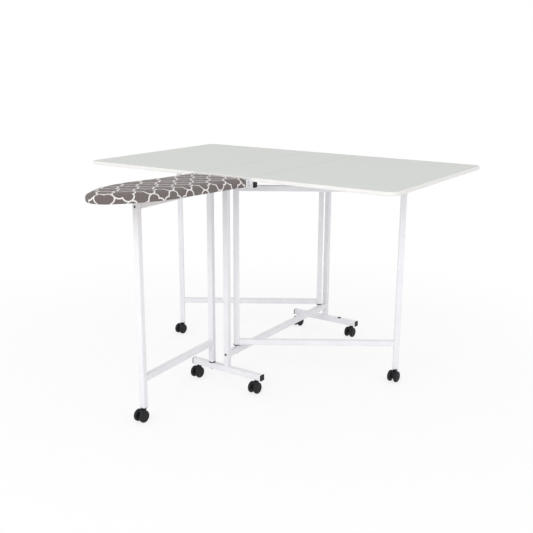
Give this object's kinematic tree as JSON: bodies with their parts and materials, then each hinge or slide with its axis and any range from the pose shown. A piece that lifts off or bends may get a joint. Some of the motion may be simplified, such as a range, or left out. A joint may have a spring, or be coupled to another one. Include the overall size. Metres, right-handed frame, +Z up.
{
  "type": "folding sewing and cutting table",
  "caption": "Wheeled drop-leaf cutting table with swinging gate legs of square tube and a hinged ironing board held by a gate of its own.",
  "frame": {"origin": "centre of the bounding box's base, on the floor, with the table unfolded", "axes": "+X along the tabletop's long axis, towards the leaf on the right of the picture; +Y away from the ironing board; +Z up"},
  "size_m": [1.476, 1.5932, 0.9089],
  "materials": {
    "laminate": "light grey satin laminate on board with a warm white edge band",
    "board_panel": "raw particle board",
    "ironing_cover": "padded woven cotton cover, warm dark grey with an off-white trellis pattern",
    "white_steel": "white powder-coated square steel tube",
    "bracket_steel": "white powder-coated pressed steel",
    "zinc_steel": "bright zinc plated steel",
    "black_plastic": "black moulded nylon",
    "bush_plastic": "black moulded nylon bush"
  },
  "bodies": {
    "table_frame": {"centre_leaf": "laminate", "centre_hinge_plates": "zinc_steel", "hinge_pins": "zinc_steel", "near_foot": "white_steel", "far_foot": "white_steel", "near_post": "white_steel", "far_post": "white_steel", "near_crossbar": "white_steel", "far_crossbar": "white_steel", "low_stretcher": "white_steel", "upper_rail": "white_steel", "ironing_gate_arm": "white_steel", "foot_end_caps": "black_plastic", "crossbar_end_caps": "black_plastic", "foot_hole_plug": "black_plastic", "gate_pivot_bolts": "zinc_steel", "frame_bolts": "zinc_steel", "foot_caster_sockets": "black_plastic", "board_hinge_brackets": "bracket_steel", "board_pivot_pins": "zinc_steel"},
    "right_leaf": {"right_leaf": "laminate", "right_hinge_plates": "zinc_steel"},
    "left_leaf": {"left_leaf": "laminate", "left_hinge_plates": "zinc_steel"},
    "ironing_board": {"ironing_board_panel": "board_panel", "ironing_board_pad": "ironing_cover", "board_hinge_arms": "bracket_steel"},
    "right_gate": {"right_gate_post": "white_steel", "right_gate_leg": "white_steel", "right_gate_top_rail": "white_steel", "right_gate_bottom_rail": "white_steel", "right_gate_bushings": "bush_plastic", "right_leg_plugs": "black_plastic"},
    "left_gate": {"left_gate_post": "white_steel", "left_gate_leg": "white_steel", "left_gate_top_rail": "white_steel", "left_gate_bottom_rail": "white_steel", "left_gate_bushings": "bush_plastic", "left_leg_plugs": "black_plastic"},
    "ironing_gate": {"ironing_gate_post": "white_steel", "ironing_gate_leg": "white_steel", "ironing_gate_top_rail": "white_steel", "ironing_gate_bottom_rail": "white_steel", "ironing_gate_bushings": "bush_plastic", "ironing_leg_plugs": "black_plastic"},
    "near_left_caster_fork": {"near_left_caster_fork": "black_plastic"},
    "near_left_caster_wheels": {"near_left_caster_wheels": "black_plastic"},
    "near_right_caster_fork": {"near_right_caster_fork": "black_plastic"},
    "near_right_caster_wheels": {"near_right_caster_wheels": "black_plastic"},
    "far_left_caster_fork": {"far_left_caster_fork": "black_plastic"},
    "far_left_caster_wheels": {"far_left_caster_wheels": "black_plastic"},
    "far_right_caster_fork": {"far_right_caster_fork": "black_plastic"},
    "far_right_caster_wheels": {"far_right_caster_wheels": "black_plastic"},
    "right_gate_caster_fork": {"right_gate_caster_fork": "black_plastic"},
    "right_gate_caster_wheels": {"right_gate_caster_wheels": "black_plastic"},
    "left_gate_caster_fork": {"left_gate_caster_fork": "black_plastic"},
    "left_gate_caster_wheels": {"left_gate_caster_wheels": "black_plastic"},
    "ironing_gate_caster_fork": {"ironing_gate_caster_fork": "black_plastic"},
    "ironing_gate_caster_wheels": {"ironing_gate_caster_wheels": "black_plastic"}
  },
  "joints": [
    {"name": "right_leaf_lift", "type": "hinge", "parent": "table_frame", "child": "right_leaf", "pos_m": [0.1307, 0.35362, 0.8697], "axis": [0, -1, 0], "range_deg": [0, 3]},
    {"name": "left_leaf_lift", "type": "hinge", "parent": "table_frame", "child": "left_leaf", "pos_m": [-0.1307, 0.35362, 0.8697], "axis": [0, 1, 0], "range_deg": [0, 3]},
    {"name": "right_gate_swing", "type": "hinge", "parent": "table_frame", "child": "right_gate", "pos_m": [0, -0.00238, 0.157], "axis": [0, 0, 1], "range_deg": [-96, 54.8]},
    {"name": "left_gate_swing", "type": "hinge", "parent": "table_frame", "child": "left_gate", "pos_m": [0, 0.69361, 0.157], "axis": [0, 0, 1], "range_deg": [-96, 54.8]},
    {"name": "ironing_gate_swing", "type": "hinge", "parent": "table_frame", "child": "ironing_gate", "pos_m": [-0.0806, -0.06939, 0.0835], "axis": [0, 0, 1], "range_deg": [-183.5, 5]},
    {"name": "ironing_board_lift", "type": "hinge", "parent": "table_frame", "child": "ironing_board", "pos_m": [0, -0.11439, 0.876], "axis": [-1, 0, 0], "range_deg": [0, 90]},
    {"name": "near_left_caster_swivel", "type": "hinge", "parent": "table_frame", "child": "near_left_caster_fork", "pos_m": [-0.15, -0.06939, 0.054], "axis": [0, 0, 1], "continuous": true},
    {"name": "near_left_caster_roll", "type": "hinge", "parent": "near_left_caster_fork", "child": "near_left_caster_wheels", "pos_m": [-0.15, -0.08439, 0.024], "axis": [1, 0, 0], "continuous": true},
    {"name": "near_right_caster_swivel", "type": "hinge", "parent": "table_frame", "child": "near_right_caster_fork", "pos_m": [0.15, -0.06939, 0.054], "axis": [0, 0, 1], "continuous": true},
    {"name": "near_right_caster_roll", "type": "hinge", "parent": "near_right_caster_fork", "child": "near_right_caster_wheels", "pos_m": [0.15, -0.08439, 0.024], "axis": [1, 0, 0], "continuous": true},
    {"name": "far_left_caster_swivel", "type": "hinge", "parent": "table_frame", "child": "far_left_caster_fork", "pos_m": [-0.15, 0.76062, 0.054], "axis": [0, 0, 1], "continuous": true},
    {"name": "far_left_caster_roll", "type": "hinge", "parent": "far_left_caster_fork", "child": "far_left_caster_wheels", "pos_m": [-0.15, 0.74562, 0.024], "axis": [1, 0, 0], "continuous": true},
    {"name": "far_right_caster_swivel", "type": "hinge", "parent": "table_frame", "child": "far_right_caster_fork", "pos_m": [0.15, 0.76062, 0.054], "axis": [0, 0, 1], "continuous": true},
    {"name": "far_right_caster_roll", "type": "hinge", "parent": "far_right_caster_fork", "child": "far_right_caster_wheels", "pos_m": [0.15, 0.74562, 0.024], "axis": [1, 0, 0], "continuous": true},
    {"name": "right_gate_caster_swivel", "type": "hinge", "parent": "right_gate", "child": "right_gate_caster_fork", "pos_m": [0.5699, 0.36489, 0.054], "axis": [0, 0, 1], "continuous": true},
    {"name": "right_gate_caster_roll", "type": "hinge", "parent": "right_gate_caster_fork", "child": "right_gate_caster_wheels", "pos_m": [0.5699, 0.34989, 0.024], "axis": [1, 0, 0], "continuous": true},
    {"name": "left_gate_caster_swivel", "type": "hinge", "parent": "left_gate", "child": "left_gate_caster_fork", "pos_m": [-0.5699, 0.32634, 0.054], "axis": [0, 0, 1], "continuous": true},
    {"name": "left_gate_caster_roll", "type": "hinge", "parent": "left_gate_caster_fork", "child": "left_gate_caster_wheels", "pos_m": [-0.5699, 0.31134, 0.024], "axis": [1, 0, 0], "continuous": true},
    {"name": "ironing_gate_caster_swivel", "type": "hinge", "parent": "ironing_gate", "child": "ironing_gate_caster_fork", "pos_m": [-0.05189, -0.53079, 0.054], "axis": [0, 0, 1], "continuous": true},
    {"name": "ironing_gate_caster_roll", "type": "hinge", "parent": "ironing_gate_caster_fork", "child": "ironing_gate_caster_wheels", "pos_m": [-0.05189, -0.54579, 0.024], "axis": [1, 0, 0], "continuous": true}
  ]
}
